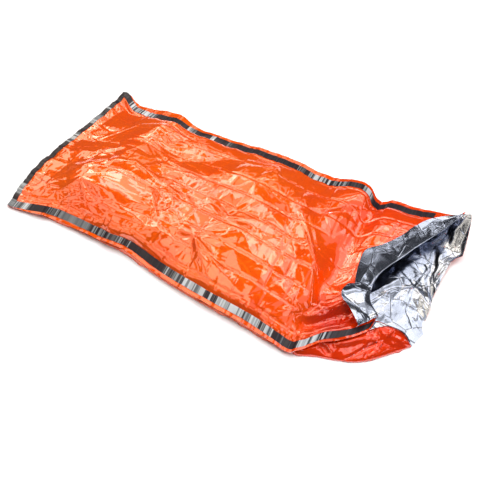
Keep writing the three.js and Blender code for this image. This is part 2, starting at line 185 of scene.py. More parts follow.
# The cuff by share of the panel's width from its near end: where the panel turns back, free edge.
CUFF = table(
    "share fold_x fold_y fold_z edge_x edge_y edge_z",
    (0.00, 1794, 278, 86, 1743, 187, 86),
    (0.06, 1762, 299, 87, 1706, 216, 93),
    (0.12, 1736, 319, 88, 1662, 246, 102),
    (0.18, 1720, 345, 89, 1628, 266, 109),
    (0.22, 1713, 365, 90, 1616, 286, 114),
    (0.26, 1711, 386, 91, 1628, 312, 126),
    (0.29, 1709, 406, 92, 1652, 330, 138),
    (0.32, 1708, 430, 92, 1640, 362, 149),
    (0.36, 1710, 462, 93, 1626, 402, 153),
    (0.44, 1730, 526, 95, 1614, 494, 160),
    (0.56, 1758, 591, 97, 1665, 571, 153),
    (0.67, 1783, 659, 98, 1709, 654, 147),
    (0.78, 1811, 725, 100, 1740, 743, 141),
    (0.89, 1842, 790, 106, 1786, 826, 137),
    (1.00, 1896, 903, 138, 1902, 922, 147),
)

# Main folds of the upper panel, as soft rounded runs, raised when the height is positive.
FOLDS = table(
    "from_x from_y to_x to_y width height",
    (1230, 660, 1390, 430, 45, 14),
    (1390, 430, 1500, 210, 45, 12),
    (1478, 700, 1505, 520, 74, -28),
    (1505, 520, 1588, 170, 74, -32),
    (1560, 110, 1640, 195, 42, -46),
    (1640, 195, 1715, 240, 40, -40),
    (1580, 290, 1650, 335, 50, 16),
    (1552, 150, 1579, 215, 22, 12),
    (1579, 215, 1640, 280, 24, 16),
    (240, 160, 215, 290, 55, 12),
    (215, 290, 440, 405, 60, 14),
    (440, 405, 650, 370, 60, 14),
    (650, 370, 910, 205, 55, 12),
    (300, 215, 580, 215, 150, 20),
    (918, 204, 1110, 80, 45, 12),
    (918, 204, 1090, 330, 45, 10),
    (480, 600, 820, 640, 70, -12),
    (900, 660, 1120, 700, 65, 10),
)

# Sharp creases of the upper panel in stars: where a star starts, then the end, width and height of
# each of its creases, which are narrow and high at the start.
CREASE_START_WIDTH = 0.45
CREASE_END_WIDTH = 1.2
CREASE_END_HEIGHT = 0.25


def star(from_x, from_y, *rows):
    return table("from_x from_y to_x to_y width height", *[(from_x, from_y, *row) for row in rows])


CREASES = [
    # near half
    *star(918, 204, (1135, 32, 34, 8), (1246, 71, 30, 7), (1090, 328, 30, -6), (690, 198, 30, 6),
          (760, 90, 36, -7), (1010, 20, 30, -6)),
    # near swelling, its bright end and its wrinkles
    *star(689, 231, (610, 320, 26, 6), (760, 330, 24, -5), (800, 120, 30, 6), (560, 215, 26, 5),
          (700, 90, 28, -6)),
    *star(276, 205, (200, 110, 34, 7), (450, 207, 30, 5), (400, 90, 26, 6), (480, 110, 26, -5)),
    # far side of the foot half
    *star(551, 530, (420, 600, 30, 6), (660, 610, 28, -6), (690, 520, 30, 6), (480, 440, 30, -5)),
    *star(490, 633, (360, 690, 28, 6), (600, 700, 26, 5)),
    *star(238, 409, (130, 470, 26, 5), (330, 500, 26, 5), (200, 300, 24, -5)),
    # middle
    *star(988, 376, (860, 420, 26, 6), (1060, 520, 26, -6), (1130, 420, 24, 5)),
    # far side
    *star(1020, 777, (860, 640, 32, 7), (940, 560, 28, -6), (1130, 600, 34, 8), (800, 720, 26, 6)),
    # ridge and dark crease by the bump
    *star(1423, 395, (1262, 580, 18, 12), (1490, 325, 16, 12), (1530, 190, 26, 6)),
    *star(1368, 655, (1310, 610, 26, -14), (1453, 722, 26, -14)),
    *star(1493, 141, (1400, 60, 28, 8), (1380, 190, 26, 7)),
    # long arc
    *star(447, 415, (306, 362, 30, 5), (660, 378, 30, 5)),
    *star(306, 362, (190, 240, 30, 5)),
    *star(660, 378, (853, 352, 26, 5)),
]

# Valleys of the upper panel that stay smooth between the crumples.
SMOOTH_RUNS = table(
    "from_x from_y to_x to_y width calm",
    (1490, 568, 1470, 463, 50, 0.85),
    (1470, 463, 1505, 302, 50, 0.85),
    (1505, 302, 1545, 143, 50, 0.85),
    (280, 250, 600, 240, 120, 0.7),
)

# Crumples: facets about one spacing wide, corners of random height, sharp crests along the edges.
# Where a table leaves out a column, the facets are as long as wide and as strong at foot and head.
CREST_WIDTH = 7
CORNER_JITTER = 0.45
SPARE_CORNERS = 4
UPPER_CRUMPLES = table(
    "spacing height crest lengthwise foot_share head_share",
    (230, 10.0, 0.6, 1.4, 1.0, 0.5),
    (108, 9.0, 0.9, 1.8, 1.0, 0.35),
    (54, 0.5, 0.3, 1.4, 1.0, 0.5),
)
CUFF_CRUMPLES = table("spacing height crest", (120, 5.0, 0.0), (55, 1.6, 0.0), (26, 0.3, 0.0))
LOWER_CRUMPLES = table(
    "spacing height crest foot_share head_share",
    (90, 6.5, 1.0, 0.5, 1.0),
    (45, 2.8, 0.6, 0.6, 1.1),
    (24, 0.6, 0.0, 0.6, 1.1),
)
MOUTH_CRUMPLES = table("spacing height crest", (120, 8.0, 1.5), (55, 4.2, 1.2), (26, 1.2, 0.5))

# Folds of the lower panel's near wall by the mouth: place along the bag and share of the way down.
WALL_FOLDS = table(
    "from_x from_down to_x to_down width height",
    (1704, 0.24, 1821, 0.22, 18, 12),
    (1758, 0.48, 1824, 0.29, 16, -14),
    (1850, 0.43, 1862, 0.09, 20, 14),
    (1648, 0.30, 1679, 0.44, 16, -14),
    (1590, 0.30, 1700, 0.12, 14, -9),
    (1800, 0.05, 1950, 0.25, 12, 7),
    (1800, 0.12, 1950, 0.45, 12, -9),
    (1900, 0.30, 1945, 0.60, 14, 8),
    (1300, 0.50, 1480, 0.40, 16, 5),
    (1080, 0.45, 1230, 0.55, 16, 5),
    (820, 0.50, 960, 0.40, 16, 5),
    (620, 0.40, 760, 0.55, 16, 5),
    (300, 0.50, 430, 0.40, 16, 5),
)

# Packing creases of the film: a lattice of long lines and staggered cross lines.
PACK_PITCH = 95
PACK_CROSS = 66
PACK_HEIGHT = 2.6
PACK_GROOVE = 2.6
PACK_GROOVE_WIDTH = 8
PACK_CREST = 0.5
PACK_FOOT_SHARE = 0.45
PACK_LINE_JITTER = 8
PACK_CORNER_JITTER = 5
PACK_CROSS_JITTER = 0.3
PACK_SLANT = 0.12
PACK_CROSS_STRENGTHS = (0.0, 0.6, 1.0)

# Puckers along the seams, and fine ridges of the tapes
PUCKER_STEP = 15
PUCKER_HEIGHT = 1.5
PUCKER_LONG_STEP = 46
PUCKER_LONG_HEIGHT = 3.5
PUCKER_JITTER = 0.4
PUCKER_REACH = 42
PUCKER_FADE = 30
FOOT_PUCKER_GAIN = 1.1
RIDGE_STEP = 6
RIDGE_HEIGHT = 0.3

# Painted reflections: light and dark stretches of each tape, up to their ends by share of its length
# from the foot or the near corner.
NEAR_STRETCHES = table(
    "end light contrast",
    (0.047, 0.75, 0.5), (0.096, 0.10, 0.1), (0.134, 0.35, 0.6), (0.223, 0.58, 0.1),
    (0.345, 0.28, 0.6), (0.454, 0.04, 0.1), (0.517, 0.45, 0.9), (0.577, 0.90, 0.5),
    (0.591, 0.10, 0.3), (0.612, 0.50, 0.8), (0.727, 0.85, 0.6), (0.798, 0.25, 0.8),
    (0.828, 0.15, 0.5), (0.852, 0.95, 0.4), (0.903, 0.45, 0.9), (1.000, 0.06, 0.2),
)
FAR_STRETCHES = table(
    "end light contrast",
    (0.024, 0.05, 0.1), (0.139, 0.72, 0.8), (0.243, 0.06, 0.2), (0.270, 0.75, 0.4),
    (0.318, 0.05, 0.1), (0.332, 0.60, 0.5), (0.372, 0.05, 0.1), (0.386, 0.60, 0.5),
    (0.580, 0.05, 0.2), (0.610, 0.45, 0.9), (0.625, 0.05, 0.1), (0.689, 0.60, 0.9),
    (0.734, 0.20, 0.9), (0.783, 0.12, 0.5), (0.827, 0.75, 0.8), (1.000, 0.05, 0.2),
)
FOOT_STRETCHES = table(
    "end light contrast",
    (0.045, 0.70, 0.2), (0.085, 0.05, 0.1), (0.160, 0.65, 0.3), (0.514, 0.06, 0.3),
    (0.601, 0.60, 0.4), (0.690, 0.05, 0.1), (0.777, 0.70, 0.4), (0.834, 0.05, 0.1),
    (0.870, 0.60, 0.3), (1.000, 0.05, 0.1),
)
STRIPE_STEP = 3.5
STRIPE_CONTRAST = 0.9
STRIPE_SPARE = 3

# Colours of the finishes, from a darker to a lighter tone
TONE_PLACES = (0.30, 0.70)
ORANGE = ((0.95, 0.085, 0.002), (0.99, 0.124, 0.003))
# Painted shade that turns the upper panel redder towards the mouth
MOUTH_SHADE_RED = ((0.93, 0.049, 0.001), (0.98, 0.084, 0.002))
# Painted shade that turns the lower panel's outside redder by the mouth's bulge
LOWER_SHADE_RED = ((0.82, 0.028, 0.001), (0.94, 0.052, 0.001))
SILVER = ((0.53, 0.57, 0.69), (0.73, 0.78, 0.92))
FLOOR_WHITE = ((0.90, 0.90, 0.90), (0.93, 0.93, 0.93))
# The tape's dark film, and lighter tones for its painted reflections
TAPE_TONES = (
    (0.0, (0.020, 0.014, 0.020)),
    (0.35, (0.05, 0.045, 0.05)),
    (0.65, (0.20, 0.21, 0.225)),
    (1.0, (0.55, 0.57, 0.60)),
)

# Where painted shade turns the film redder towards the mouth, and where painted shade makes the hollow
# by the near seam deep red, in metres
MOUTH_SHADE_RED_SPAN = (0.1, 0.65)
LOWER_SHADE_RED_SPAN = (0.42, 0.66)
# Painted shade: deep red in the hollow by the near seam, strongest at its place and gone beyond its span
HOLLOW_SHADE_RED = (0.50, 0.010, 0.001, 1)
HOLLOW_PLACE = (0.67, -0.27, 0.06)
HOLLOW_SHADE_SPAN = (0.04, 0.15)
HOLLOW_SHADE_STRENGTH = 0.8

# Crinkles in the film's finish: large and small facets, thin creases between the large ones, fine
# waves. Scales are for each metre, heights in metres and the creases' width a share of a facet.
LARGE_FACETS = 12
LARGE_TILT = 0.019
SMALL_FACETS = 36
SMALL_TILT = 0.0015
FACET_SQUEEZE = (0.6, 1.0, 1.0)
FACET_TURN = (0, 0, 0.35)
CREASE_SHARE = 0.035
CREASE_HEIGHT = 0.0005
WAVE_SCALE = 60
WAVE_HEIGHT = 0.0006
WAVE_STRENGTH = 0.02

# Camera and light
CAMERA_PLACE = (1.114, -1.7287, 2.5943)
CAMERA_TARGET = (0.0963, -0.0817, 0.0)
CAMERA_LENS = 52.5

# Panels of light that face straight down, in metres. A panel is warm and seen in reflections only,
# unless its row says otherwise: "both" also lights what is matt, "matt" isn't seen in reflections.
LIGHTS = table(
    "x y z width depth radiance warmth lights",
    # banks over the body, from the foot to the head
    (-5.2, 1.6, 2.75, 1.5, 2.4, 2.5),
    (-3.5, 1.45, 2.75, 1.2, 1.9, 2.7, 1, "both"),
    (-2.15, 1.65, 2.75, 0.95, 1.7, 1.5, 1, "both"),
    (-0.8875, 1.65, 2.75, 1.05, 1.6, 1.05, 1, "both"),
    (0.0825, 1.65, 2.75, 0.3, 1.7, 2.0, 1, "both"),
    (-2.9, 0, 2.75, 2.4, 0.55, 1.8),
    (-0.75, 0.1, 2.75, 1.7, 0.4, 1.9),
    # brighter strips within the banks
    (-3.1, 1.75, 2.74, 1.8, 0.5, 4.2, 0.4),
    (-1.1, 1.15, 2.74, 3, 0.34, 2.4, 0.4),
    (-1.1, 2.05, 2.74, 3, 0.34, 2.4, 0.4),
    # strips for the far slope
    (-1.4, 3.3, 2.75, 3.6, 0.5, 1.2),
    (-3.2, 2.75, 2.75, 2.6, 0.4, 1.9),
    # strips for the near slope and the bulge
    (-0.5, -0.32, 2.9, 1.3, 0.5, 1.8),
    (-2.6, -0.75, 3, 5.2, 0.4, 1.6),
    (-2.6, -1.5, 3, 5.2, 0.45, 1.4),
    (-3, -2.45, 3, 4.4, 0.6, 1.7),
    (-3.2, -3.6, 3, 4.4, 0.7, 1.7),
    (0.6, -1.9, 2.4, 0.9, 0.5, 1.9),
    # light and dim strips for the mouth
    (1.28, 1.3, 3.1, 1.65, 3.8, 0.5, 0),
    (0.8, 0.9, 2.75, 1.05, 0.35, 1.5, 0),
    (0.8, 1.3, 2.75, 1.05, 0.4, 0.7, 0),
    (0.8, 1.7, 2.75, 1.05, 0.35, 1.2, 0),
    (0.8, 2.1, 2.75, 1.05, 0.4, 0.65, 0),
    (0.8, 2.6, 2.75, 1.05, 0.5, 1.4, 0),
    (1.6, -0.6, 2.6, 1.2, 0.8, 1.2, 0),
    (2.7, 1.2, 2.75, 0.3, 1.8, 2.4, 0, "both"),
    (3.5, 0.4, 2.4, 0.3, 2.4, 1.8, 0, "both"),
    # fill from above, from the near side and over the mouth
    (0, 1.2, 5, 6, 6, 4.2, 0, "matt"),
    (-0.6, -2.6, 1.6, 3, 1.2, 1.2, 0, "matt"),
    (2.3, -0.2, 2.2, 1.5, 2, 2.2, 0, "matt"),
)
WARM_LIGHT = (1.0, 0.88, 0.68)
STUDIO_TONES = ((0.0, (0.07, 0.07, 0.0735)), (0.7, (0.03, 0.03, 0.033)))
FLOOR_HALF = 8.0


# One source of random numbers, drawn from in the order of the pieces
rng = np.random.default_rng(SEED)


def lerp(a, b, share):
    return a + (b - a) * share


def ease(low, high, values):
    share = np.clip((values - low) / (high - low), 0, 1)
    return share * share * (3 - 2 * share)


def ramp(start, end, cells):
    """Points in even steps from start up to, but not including, end."""
    shares = np.arange(cells)[:, None] / cells
    return lerp(start[None, :], end[None, :], shares)


def tent(distance, width):
    """A straight-sided ridge, one high on its line."""
    return np.clip(1 - distance / width, 0, 1)


def bell(distance, width):
    """A soft round ridge, one high on its line."""
    return np.exp(-((distance / width) ** 2))


def shaken(reach, count=None):
    return rng.uniform(-reach, reach, count)


def column(rows, name):
    return np.array([row[name] for row in rows])


def add_object(name, data):
    holder = bpy.data.objects.new(name, data)
    bpy.context.scene.collection.objects.link(holder)
    return holder


# Smooth strands through the sections

def span_points(points, k, shares):
    """Points on one span of a centripetal strand, for each column at once."""
    before = 2 * points[:1] - points[1:2]
    after = 2 * points[-1:] - points[-2:-1]
    p0, p1, p2, p3 = np.concatenate([before, points, after])[k:k + 4]
    d0, d1, d2 = (
        np.maximum(np.linalg.norm(b - a, axis=-1, keepdims=True) ** 0.5, SHORTEST_SPAN)
        for a, b in ((p0, p1), (p1, p2), (p2, p3))
    )
    start = ((p1 - p0) / d0 - (p2 - p0) / (d0 + d1) + (p2 - p1) / d1) * d1
    end = ((p2 - p1) / d1 - (p3 - p1) / (d1 + d2) + (p3 - p2) / d2) * d1
    t = np.asarray(shares)[:, None, None]
    square = -3 * p1 + 3 * p2 - 2 * start - end
    cube = 2 * p1 - 2 * p2 + start + end
    return p1 + start * t + square * t ** 2 + cube * t ** 3


def strand_grid(sections, counts):
    """A grid of rows and columns: one smooth strand through all the sections for each column."""
    points = np.array(sections)
    rows = [points[:1]]
    for k, count in enumerate(counts):
        rows.append(span_points(points, k, np.arange(1, count + 1) / count))
    return np.concatenate(rows)


def curve_points(rows, columns, shares):
    """Points on the smooth curve through a table's rows, by the shares in the table."""
    points = np.stack([column(rows, name) for name in columns.split()], axis=-1)[:, None]
    places = np.interp(shares, column(rows, "share"), np.arange(len(rows)))
    found = []
    for place in places:
        k = min(int(place), len(points) - 2)
        found.append(span_points(points, k, [place - k])[0, 0])
    return np.array(found)


def row_count(start, end):
    middle = len(start) // 2
    return max(2, math.ceil(np.linalg.norm(end[middle] - start[middle]) / ROW_STEP))


def grid_normals(grid):
    """Unit normals of a grid, on the side that faces up where it lies flat."""
    normals = np.cross(*np.gradient(grid, axis=(0, 1)))
    return normals / np.maximum(np.linalg.norm(normals, axis=-1, keepdims=True), TINY)


def line_places(line):
    """Distances along a line of points."""
    return np.append(0, np.cumsum(np.linalg.norm(np.diff(line, axis=0), axis=1)))


def sheet_places(grid):
    """Distances along a grid's middle column and across its middle row."""
    return line_places(grid[:, grid.shape[1] // 2]), line_places(grid[grid.shape[0] // 2])


# Sections of the two panels

UPPER_SHARES = np.linspace(0, 1, UPPER_CELLS + 1)


def rail(row, side):
    return np.array([row[f"{side}_{axis}"] for axis in "xyz"], float)


def outward_of(near, far):
    """Level direction from the far rail to the near one."""
    level = (near - far) * [1, 1, 0]
    return level / np.linalg.norm(level)


def seam_points(start, outward, droop, margin, share):
    """The tape's outer edge and the film's cut edge beyond one rail."""
    reach = math.sqrt(TAPE_WIDTH ** 2 - droop ** 2)
    outer = start + outward * reach * share
    outer[2] -= droop * share
    cut = outer + outward * margin * MARGIN_REACH * share
    cut[2] -= min(margin, droop) * MARGIN_FALL * share
    return outer, cut


def with_margins(across, outward, row, share):
    """A section with its tapes and free edges, at a share of their widths."""
    near_outer, near_cut = seam_points(across[0], outward, row["near_droop"], row["near_margin"], share)
    far_outer, far_cut = seam_points(across[-1], -outward, row["far_droop"], row["far_margin"], share)
    parts = [
        ramp(near_cut, near_outer, MARGIN_CELLS),
        ramp(near_outer, across[0], TAPE_CELLS),
        across,
        ramp(far_outer, across[-1], TAPE_CELLS)[::-1],
        ramp(far_cut, far_outer, MARGIN_CELLS)[::-1],
    ]
    return np.concatenate(parts)


def upper_section(row):
    shares = UPPER_SHARES[:, None]
    near = rail(row, "near")
    far = rail(row, "far")
    across = lerp(near, far, shares)
    skewed = UPPER_SHARES ** BOW_SKEW
    steps = np.linspace(0, 1, len(FOOT_LINE))
    across[:, 0] += row["foot"] * np.interp(UPPER_SHARES, steps, FOOT_LINE)
    across[:, 0] += row["bow"] * (4 * skewed * (1 - skewed)) ** BOW_POWER
    across[:, 2] += row["crown"] * (4 * UPPER_SHARES * (1 - UPPER_SHARES)) ** ARCH_POWER
    return with_margins(across, outward_of(near, far), row, 1)


def cuff_sections():
    fold = curve_points(CUFF, "fold_x fold_y fold_z", UPPER_SHARES)
    edge = curve_points(CUFF, "edge_x edge_y edge_z", UPPER_SHARES)
    sections = []
    for along in (0, 0.5, 1):
        across = lerp(fold, edge, along)
        across[:, 2] += CUFF_CURL * 4 * along * (1 - along)
        outward = outward_of(across[0], across[-1])
        sections.append(with_margins(across, outward, CUFF_SEAMS, CUFF_SEAM_SHARE))
    return sections


def wall_points(start, outward, bulge, inset, cells):
    """The lower panel from one rail down its swelling wall to the floor."""
    height = start[2] - FLOOR_HEIGHT
    upper_reach = WALL_UPPER_BULGE * height * bulge - WALL_UPPER_INSET * inset
    upper_height = height * (WALL_UPPER_HEIGHT + WALL_UPPER_PER_INSET * inset)
    lower_reach = WALL_LOWER_BULGE * height * bulge - WALL_LOWER_INSET * inset
    t = np.linspace(0, 1, cells + 1)[:, None]
    weights = np.hstack([(1 - t) ** 3, 3 * t * (1 - t) ** 2, 3 * t ** 2 * (1 - t), t ** 3])
    points = start + outward * (weights @ [0, upper_reach, lower_reach, -inset])[:, None]
    points[:, 2] = FLOOR_HEIGHT + weights @ [height, upper_height, 0, 0]
    return points


def lower_section(row, share):
    near = rail(row, "near")
    far = rail(row, "far")
    outward = outward_of(near, far)
    if share == 1:
        near[2] -= LAYER_STEP
        far[2] -= LAYER_STEP
    near_wall = wall_points(near, outward, row["near_bulge"], row["near_inset"], NEAR_WALL_CELLS)
    far_wall = wall_points(far, -outward, row["far_bulge"], row["far_inset"], FAR_WALL_CELLS)[::-1]
    floor = ramp(near_wall[-1], far_wall[0], LOWER_FLOOR_CELLS)[1:]
    across = np.concatenate([near_wall, floor, far_wall])
    return with_margins(across, outward, row, share)


def rail_distances(v):
    """Distances of columns from the near and from the far rail, inwards."""
    return v - v[SIDE_CELLS], v[-SIDE_CELLS - 1] - v


def resampled(grid, count):
    """A grid with another number of rows, on straight lines between its own."""
    places = np.linspace(0, len(grid) - 1, count)
    left = np.minimum(places.astype(int), len(grid) - 2)
    return lerp(grid[left], grid[left + 1], (places - left)[:, None, None])


def under_columns(points):
    """Points of the upper panel's columns, taken over by the lower panel's columns."""
    middle = resampled(points[:, UPPER_BODY].swapaxes(0, 1), LOWER_CELLS + 1).swapaxes(0, 1)
    return np.concatenate([points[:, :SIDE_CELLS], middle, points[:, -SIDE_CELLS:]], axis=1)


# Folds, creases and crumples

def run_distance(points, row):
    """Distance of points from a straight run in plan, and the share of the run next to them."""
    start = np.array([row["from_x"], row["from_y"]], float)
    run = np.array([row["to_x"], row["to_y"]], float) - start
    offset = points[..., :2] - start
    share = np.clip(offset @ run / (run @ run), 0, 1)
    return np.linalg.norm(offset - share[..., None] * run, axis=-1), share


def strongest(heights):
    """The highest ridge and the deepest trough at each point, added up."""
    return np.max(heights, axis=0, initial=0) + np.min(heights, axis=0, initial=0)


def fold_heights(points):
    """Height added by the main folds."""
    heights = []
    for fold in FOLDS:
        distance, _ = run_distance(points, fold)
        heights.append(fold["height"] * bell(distance, fold["width"]))
    return strongest(heights)


def crease_heights(points):
    """Height added by the sharp creases."""
    heights = []
    for crease in CREASES:
        distance, share = run_distance(points, crease)
        width = crease["width"] * lerp(CREASE_START_WIDTH, CREASE_END_WIDTH, share)
        heights.append(crease["height"] * tent(distance, width) * lerp(1, CREASE_END_HEIGHT, share))
    return strongest(heights)


def wall_fold_heights(grid):
    """Folds of the lower panel's near wall, which come outwards where a row's height is positive."""
    wall = grid[:, NEAR_WALL]
    steps = np.linalg.norm(np.diff(wall, axis=1), axis=-1)
    down = np.pad(np.cumsum(steps, axis=1), ((0, 0), (1, 0)))
    x = wall[:, :1, 0]
    heights = np.zeros(down.shape)
    for fold in WALL_FOLDS:
        run = fold["to_x"] - fold["from_x"]
        along = np.clip((x - fold["from_x"]) / run, 0, 1)
        beyond = x - fold["from_x"] - run * along
        target = lerp(fold["from_down"], fold["to_down"], along) * down[:, -1:]
        heights -= fold["height"] * tent(np.hypot(beyond, down - target), fold["width"])
    return heights


def calm_shares(points):
    """Share of the crumples that points keep, small along the smooth valleys."""
    kept = np.ones(points.shape[:-1])
    for run in SMOOTH_RUNS:
        distance, _ = run_distance(points, run)
        kept = np.minimum(kept, 1 - run["calm"] * bell(distance, run["width"]))
    return kept


def facet_field(corners, heights, edges, u, v, crest):
    """Heights at places u, v from flat facets between corners, creased along the facets' edges."""
    starts = [Vector(corner) for corner in corners.tolist()]
    found, _, faces, origins, _, _ = delaunay_2d_cdt(starts, edges, [], 0, MERGE_DISTANCE)
    places = np.array([tuple(place) for place in found])
    known = np.array([heights[origin[0]] if origin else 0.0 for origin in origins])
    crests = {}
    field = np.zeros((len(u), len(v)))
    for face in faces:
        outline = places[face]
        low = outline.min(axis=0)
        high = outline.max(axis=0)
        rows = slice(*np.searchsorted(u, (low[0], high[0])))
        columns = slice(*np.searchsorted(v, (low[1], high[1])))
        matrix = np.column_stack([outline, np.ones(3)])
        area = abs(np.linalg.det(matrix))
        if rows.start == rows.stop or columns.start == columns.stop or area < TINY:
            continue
        by_u, by_v, fixed = np.linalg.inv(matrix)
        shares = by_u * u[rows, None, None] + by_v * v[columns, None] + fixed
        height = shares @ known[face]
        for k in range(3):
            edge = tuple(sorted(face[:k] + face[k + 1:]))
            crests.setdefault(edge, rng.normal(0, crest))
            length = np.linalg.norm(places[edge[0]] - places[edge[1]])
            height += crests[edge] * tent(shares[..., k] * area / length, CREST_WIDTH)
        inside = (shares >= -TINY).all(axis=-1)
        field[rows, columns] = np.where(inside, height, field[rows, columns])
    return field


def crumple_field(u, v, row):
    """Facets between the corners of a shaken lattice, stretched lengthwise."""
    steps = row["spacing"] * np.array([row.get("lengthwise", 1), 1])
    start = np.array([u[0], v[0]])
    counts = (([u[-1], v[-1]] - start) / steps).astype(int) + SPARE_CORNERS
    lattice = np.stack(np.indices(counts), axis=-1).reshape(-1, 2)
    corners = (lattice - 1 + shaken(CORNER_JITTER, lattice.shape)) * steps + start
    heights = rng.normal(0, row["height"], len(corners))
    return facet_field(corners, heights, [], u, v, row["crest"])


def crumples(rows, u, v, head_weight):
    """All levels of crumple, each with its own strength at foot and head."""
    total = np.zeros((len(u), len(v)))
    for row in rows:
        share = lerp(row.get("foot_share", 1), row.get("head_share", 1), head_weight)
        total += crumple_field(u, v, row) * share[:, None]
    return total


def packing_field(u, v):
    """Facets between long packing lines and staggered cross lines, with a groove on each line."""
    lines = np.arange(v[0] - PACK_PITCH, v[-1] + 2 * PACK_PITCH, PACK_PITCH)
    lines = lines + shaken(PACK_LINE_JITTER, len(lines))
    corners = []
    edges = []
    grooves = np.zeros((len(u), len(v)))
    for line, above in zip(lines, [*lines[1:], lines[-1] + PACK_PITCH]):
        places = np.arange(u[0] - 2 * PACK_CROSS, u[-1] + 3 * PACK_CROSS, PACK_CROSS)
        places = places + shaken(PACK_CROSS_JITTER, len(places)) * PACK_CROSS
        first = len(corners)
        corners += [(place, line + shaken(PACK_CORNER_JITTER)) for place in places]
        edges += [(first + n, first + n + 1) for n in range(len(places) - 1)]
        wobble = np.interp(u, places, [corner[1] for corner in corners[first:]])
        grooves = np.maximum(grooves, tent(np.abs(v - wobble[:, None]), PACK_GROOVE_WIDTH))
        band = (v >= line) & (v < above)
        for place in places:
            crossing = np.abs(u[:, None] - place - shaken(PACK_SLANT) * (v - line))
            groove = tent(crossing, PACK_GROOVE_WIDTH) * band
            grooves = np.maximum(grooves, groove * rng.choice(PACK_CROSS_STRENGTHS))
    corners = np.array(corners)
    heights = rng.normal(0, PACK_HEIGHT, len(corners))
    return facet_field(corners, heights, edges, u, v, PACK_CREST) - PACK_GROOVE * grooves


def pucker_line(places, step, height):
    """Random heights along a seam, joined by straight slopes."""
    knots = np.arange(places[0] - step, places[-1] + 2 * step, step)
    knots = knots + shaken(PUCKER_JITTER, len(knots)) * step
    return np.interp(places, knots, rng.normal(0, height, len(knots)))


def seam_puckers(places):
    short = pucker_line(places, PUCKER_STEP, PUCKER_HEIGHT)
    return short + pucker_line(places, PUCKER_LONG_STEP, PUCKER_LONG_HEIGHT)


def pucker_share(distance):
    """Share of a seam's puckers that is left inwards from it."""
    return np.exp(-np.clip(distance, 0, None) / PUCKER_REACH)


# Meshes

def point_numbers(grid):
    return np.arange(grid.shape[0] * grid.shape[1]).reshape(grid.shape[:2])


def quads_of(index):
    """Faces of a grid of point numbers, facing up where the grid lies flat."""
    corners = (index[:-1, :-1], index[1:, :-1], index[1:, 1:], index[:-1, 1:])
    return np.stack(corners, axis=-1).reshape(-1, 4)


def cover_heights(cover, points):
    """Height of a grid straight above or below each point, not a number where it doesn't reach."""
    faces = quads_of(point_numbers(cover)).tolist()
    tree = BVHTree.FromPolygons(cover.reshape(-1, 3).tolist(), faces)
    heights = np.full(points.shape[:-1], np.nan)
    for place in np.ndindex(heights.shape):
        x, y, _ = points[place]
        hit = tree.ray_cast((x, y, ABOVE_ALL), (0, 0, -1))[0]
        if hit is not None:
            heights[place] = hit.z
    return heights


def rim_of(index):
    """Point numbers round a grid's border, in order."""
    return np.concatenate([index[:, 0], index[-1, 1:], index[-2::-1, -1], index[0, -2:0:-1]])


def coarse_faces(index, first_row, last_row):
    """Faces of a grid that are large between two rows, away from the seams, and small elsewhere."""
    first_column = SIDE_CELLS + COARSE_BORDER
    last_column = index.shape[1] - 1 - first_column
    rows = [*range(first_row, last_row, COARSE_STEP), last_row]
    columns = [*range(first_column, last_column, COARSE_STEP), last_column]
    small = np.ones((index.shape[0] - 1, index.shape[1] - 1), bool)
    small[first_row:last_row, first_column:last_column] = False
    faces = quads_of(index)[small.ravel()].tolist()
    inner = np.zeros(index.shape, bool)
    inner[np.ix_(rows[1:-1], columns[1:-1])] = True
    kept = inner.copy()
    kept[[first_row, last_row]] = True
    kept[:, [first_column, last_column]] = True
    for r0, r1 in zip(rows, rows[1:]):
        for c0, c1 in zip(columns, columns[1:]):
            rim = rim_of(index[r0:r1 + 1, c0:c1 + 1])
            faces.append(rim[kept.flat[rim]].tolist())
    return faces, inner


def sheet_piece(name, grid, thickness, materials, coarse_side=None, coarse_rows=None):
    """A closed thin sheet over a grid, a material for each side, coarse where one side is hidden."""
    normals = grid_normals(grid)
    index = point_numbers(grid)
    depths = {side: np.full(index.shape, thickness / 2) for side in ("top", "under")}
    sides = {side: quads_of(index).tolist() for side in ("top", "under")}
    if coarse_side:
        sides[coarse_side], inner = coarse_faces(index, *coarse_rows)
        depths[coarse_side][inner] += COARSE_DROP
    top = grid + normals * depths["top"][..., None]
    under = grid - normals * depths["under"][..., None]
    points = np.concatenate([top.reshape(-1, 3), under.reshape(-1, 3)]) - CENTRE
    points[:, 2] = np.maximum(points[:, 2], FLOOR_GAP)
    points *= MM
    under_faces = [[corner + index.size for corner in reversed(face)] for face in sides["under"]]
    border = rim_of(index)
    ahead = np.roll(border, -1)
    rim_faces = np.stack([border, border + index.size, ahead + index.size, ahead], axis=-1).tolist()
    faces = sides["top"] + under_faces + rim_faces
    used = np.zeros(len(points), bool)
    used[np.concatenate([np.asarray(face) for face in faces])] = True
    number = np.cumsum(used) - 1
    mesh = bpy.data.meshes.new(name)
    mesh.from_pydata(points[used].tolist(), [], [number[face].tolist() for face in faces])
    for material in materials:
        mesh.materials.append(material)
    slots = np.arange(len(faces)) >= len(sides["top"])
    mesh.polygons.foreach_set("material_index", slots.astype(np.int32))
    mesh.shade_smooth()
    sharpen_rim(mesh, number[border], number[border + index.size])
    mesh.validate()
    return add_object(name, mesh)


def sharpen_rim(mesh, top_border, under_border):
    """Keep the shading of the two sides apart at the rim."""
    side = np.zeros(len(mesh.vertices), np.int32)
    side[top_border] = 1
    side[under_border] = 2
    ends = np.zeros(2 * len(mesh.edges), np.int32)
    mesh.edges.foreach_get("vertices", ends)
    first, second = side[ends.reshape(-1, 2)].T
    sharp = (first > 0) & (first == second)
    mesh.attributes.new("sharp_edge", "BOOLEAN", "EDGE").data.foreach_set("value", sharp)


# Materials

# The colour sockets of a mix node, by number
FIRST_COLOUR = 6
SECOND_COLOUR = 7
MIXED_COLOUR = 2


